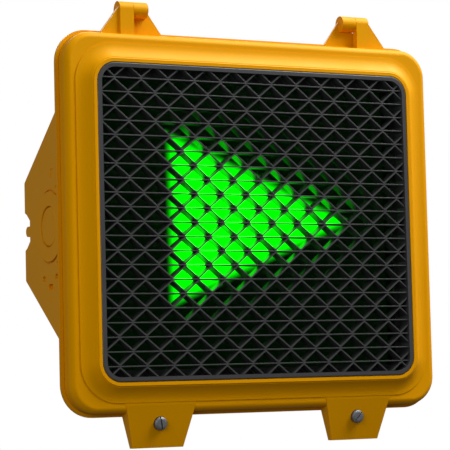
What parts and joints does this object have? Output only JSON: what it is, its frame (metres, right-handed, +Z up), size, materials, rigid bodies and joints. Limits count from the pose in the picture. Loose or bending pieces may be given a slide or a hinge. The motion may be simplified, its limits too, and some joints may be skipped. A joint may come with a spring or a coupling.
{
  "type": "pedestrian signal head",
  "caption": "Pedestrian signal head: yellow hump-backed case, top-hinged door with latch screws, black egg-crate visor over a lit green arrow, side pipe entry.",
  "frame": {"origin": "middle of the case's overall box, which is on the axis of the side pipe entries, midway between the side walls", "axes": "+Z up, -Y out of the lit face, +X to the viewer's right, along the pipe entry"},
  "size_m": [0.515, 0.192, 0.542],
  "materials": {
    "case_paint": "satin yellow powder coat",
    "painted_pin": "painted over with the case",
    "plug_paint": "satin yellow",
    "gasket_rubber": "matte black",
    "brass": "turned",
    "terminal_brass": "plated",
    "stainless": "plain",
    "spring_steel": "rolled",
    "ground_green": "dyed green",
    "terminal_plastic": "moulded",
    "latch_steel": "dark stainless",
    "visor_plastic": "black satin",
    "louvre_plastic": "flat black",
    "lens_clear": "clear sheet",
    "mask_black": "flat black",
    "symbol_green": "translucent, lit",
    "board_green": "solder mask",
    "led_green": "clear epoxy",
    "component_plastic": "moulded",
    "module_plastic": "moulded",
    "gland_plastic": "moulded"
  },
  "bodies": {
    "case": {"housing": "case_paint", "door_gasket": "gasket_rubber", "screw_inserts": "brass", "hinge_pins": "painted_pin", "side_plug": "plug_paint", "side_plug_gasket": "gasket_rubber", "side_plug_screws": "stainless", "terminal_block": "terminal_plastic", "terminal_screws": "terminal_brass", "terminal_mount_screws": "stainless", "ground_screw": "ground_green"},
    "door": {"door_frame": "case_paint", "visor_frame": "visor_plastic", "straight_louvres": "louvre_plastic", "zigzag_louvres": "louvre_plastic", "visor_screws": "stainless", "lens_gasket": "gasket_rubber", "lens": "lens_clear", "symbol_mask": "mask_black", "symbol_diffuser": "symbol_green", "led_board": "board_green", "leds": "led_green", "driver_board": "board_green", "driver_parts": "component_plastic", "module_case": "module_plastic", "module_back_cover": "module_plastic", "cover_screws": "stainless", "cable_gland": "gland_plastic", "module_clips": "spring_steel", "clip_screws": "stainless"},
    "left_washer": {"left_lock_washer": "latch_steel"},
    "right_washer": {"right_lock_washer": "latch_steel"},
    "left_screw": {"left_door_screw": "latch_steel"},
    "right_screw": {"right_door_screw": "latch_steel"}
  },
  "joints": [
    {"name": "door_hinge", "type": "hinge", "parent": "case", "child": "door", "pos_m": [0, -0.066, 0.261], "axis": [-1, 0, 0], "range_deg": [0, 110]},
    {"name": "left_screw_withdraw", "type": "slide", "parent": "door", "child": "left_washer", "axis": [0, -1, 0], "range_m": [0, 0.00851]},
    {"name": "left_screw_turn", "type": "hinge", "parent": "left_washer", "child": "left_screw", "pos_m": [-0.137, -0.076, -0.242], "axis": [0, -1, 0], "range_deg": [0, 2160]},
    {"name": "right_screw_withdraw", "type": "slide", "parent": "door", "child": "right_washer", "axis": [0, -1, 0], "range_m": [0, 0.00851]},
    {"name": "right_screw_turn", "type": "hinge", "parent": "right_washer", "child": "right_screw", "pos_m": [0.137, -0.076, -0.242], "axis": [0, -1, 0], "range_deg": [0, 2160]}
  ],
  "couplings": [
    {"joint": "left_screw_withdraw", "follows": "left_screw_turn", "m_per_rad": 0.00022441},
    {"joint": "right_screw_withdraw", "follows": "right_screw_turn", "m_per_rad": 0.00022441}
  ]
}
